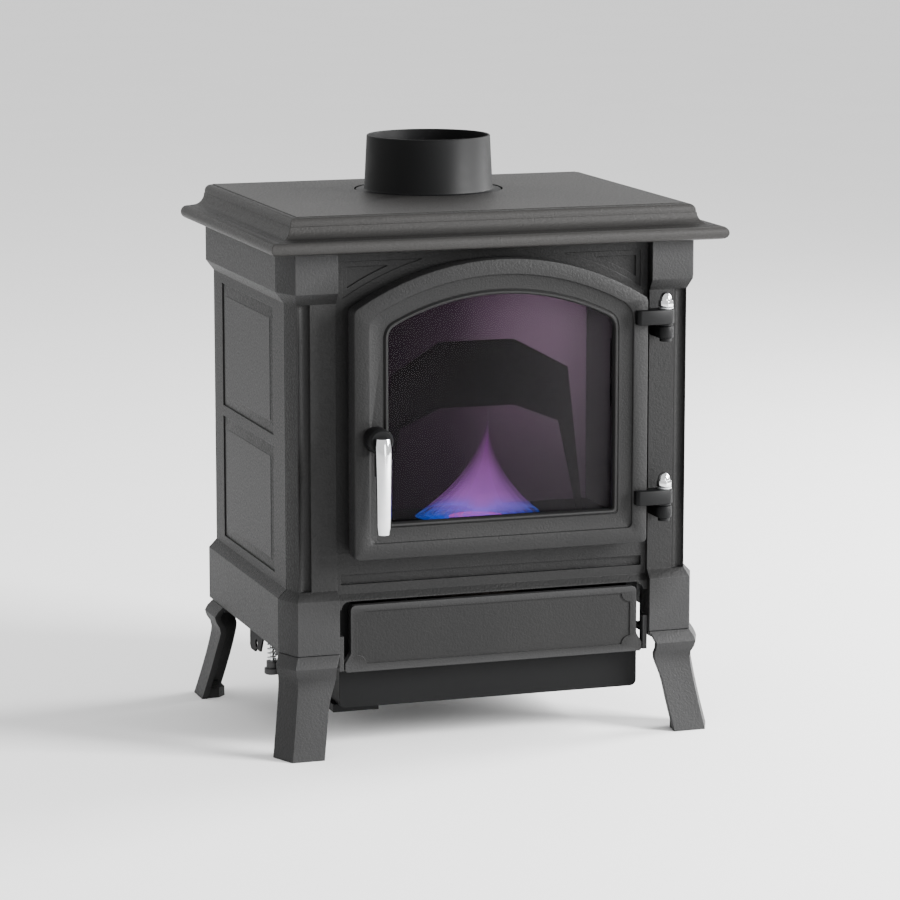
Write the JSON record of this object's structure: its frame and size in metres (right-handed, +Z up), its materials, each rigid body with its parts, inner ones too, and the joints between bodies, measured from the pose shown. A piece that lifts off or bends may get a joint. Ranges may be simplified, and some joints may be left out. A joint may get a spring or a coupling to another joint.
{
  "type": "free-standing stove",
  "caption": "Free-standing cast stove on cabriole legs, with an arched glass door, a drop-down control cover, an oil burner inside and a round flue collar on top.",
  "frame": {"origin": "centre of the overall box, on the floor under the feet", "axes": "+X to the right seen from the front, the front faces -Y, +Z up"},
  "size_m": [0.47, 0.3818, 0.5879],
  "materials": {
    "cast_iron": "matt black stove paint over a fine cast grain",
    "smooth_black_steel": "smooth satin black",
    "chrome": "polished",
    "zinc_steel": "zinc plated",
    "rope": "braided glass-fibre rope",
    "stove_glass": "clear stove glass, lightly smoked",
    "black_plastic": "moulded black",
    "brass": "satin",
    "stainless": "heat-browned stainless steel"
  },
  "bodies": {
    "casing": {"back_panel": "cast_iron", "baffle": "smooth_black_steel", "burner_pot": "stainless", "burner_tray": "smooth_black_steel", "catalyser_cup": "stainless", "flame_ring": "stainless", "floor_plate": "cast_iron", "flue_collar": "smooth_black_steel", "front_frame": "cast_iron", "fuel_feed_pipe": "brass", "fuel_supply_pipe": "brass", "hinge_bracket_lower": "smooth_black_steel", "hinge_bracket_upper": "smooth_black_steel", "hinge_cap_nut_lower": "chrome", "hinge_cap_nut_upper": "chrome", "hinge_pin_lower": "zinc_steel", "hinge_pin_upper": "zinc_steel", "hinge_spacer_lower": "zinc_steel", "hinge_spacer_upper": "zinc_steel", "hinge_washer_lower": "zinc_steel", "hinge_washer_upper": "zinc_steel", "leg_bolt_front_left": "zinc_steel", "leg_bolt_front_right": "zinc_steel", "leg_bolt_rear_left": "zinc_steel", "leg_bolt_rear_right": "zinc_steel", "leg_front_left": "cast_iron", "leg_front_right": "cast_iron", "leg_rear_left": "cast_iron", "leg_rear_right": "cast_iron", "oil_control_valve": "zinc_steel", "plunger_spring": "zinc_steel", "rear_heat_shield": "smooth_black_steel", "shutoff_valve": "brass", "side_panel_left": "cast_iron", "side_panel_right": "cast_iron", "top_plate": "cast_iron", "valve_bracket": "smooth_black_steel"},
    "door": {"door_frame": "cast_iron", "door_glass": "stove_glass", "glass_gasket": "rope", "door_rope_seal": "rope", "hinge_arm_lower": "smooth_black_steel", "hinge_arm_upper": "smooth_black_steel", "clip_screw_bottom": "zinc_steel", "clip_screw_left": "zinc_steel", "clip_screw_right": "zinc_steel", "glass_clip_bottom": "zinc_steel", "glass_clip_left": "zinc_steel", "glass_clip_right": "zinc_steel"},
    "handle": {"handle_hub": "smooth_black_steel", "handle_grip": "chrome", "latch_spindle": "zinc_steel", "latch_cam": "zinc_steel", "latch_nut": "zinc_steel"},
    "control_cover": {"control_flap": "cast_iron", "flap_pin_left": "zinc_steel", "flap_pin_right": "zinc_steel"},
    "dial": {"control_dial": "black_plastic"},
    "plunger": {"plunger_knob": "black_plastic", "plunger_stem": "chrome"}
  },
  "joints": [
    {"name": "door_hinge", "type": "hinge", "parent": "casing", "child": "door", "pos_m": [0.1705, -0.1535, 0.3335], "axis": [0, 0, 1], "range_deg": [0, 110]},
    {"name": "handle_turn", "type": "hinge", "parent": "door", "child": "handle", "pos_m": [-0.131, -0.155, 0.317], "axis": [0, 1, 0], "range_deg": [0, 90]},
    {"name": "cover_hinge", "type": "hinge", "parent": "casing", "child": "control_cover", "pos_m": [0, -0.1296, 0.0875], "axis": [1, 0, 0], "range_deg": [0, 85]},
    {"name": "dial_turn", "type": "hinge", "parent": "casing", "child": "dial", "pos_m": [-0.107, -0.1023, 0.113], "axis": [0, -1, 0], "range_deg": [-180, 0]},
    {"name": "plunger_slide", "type": "slide", "parent": "casing", "child": "plunger", "axis": [0, 0, 1], "range_m": [0, 0.006], "stiffness_N_per_m": 400, "springref_m": -0.008, "deforming": ["plunger_spring"]}
  ]
}
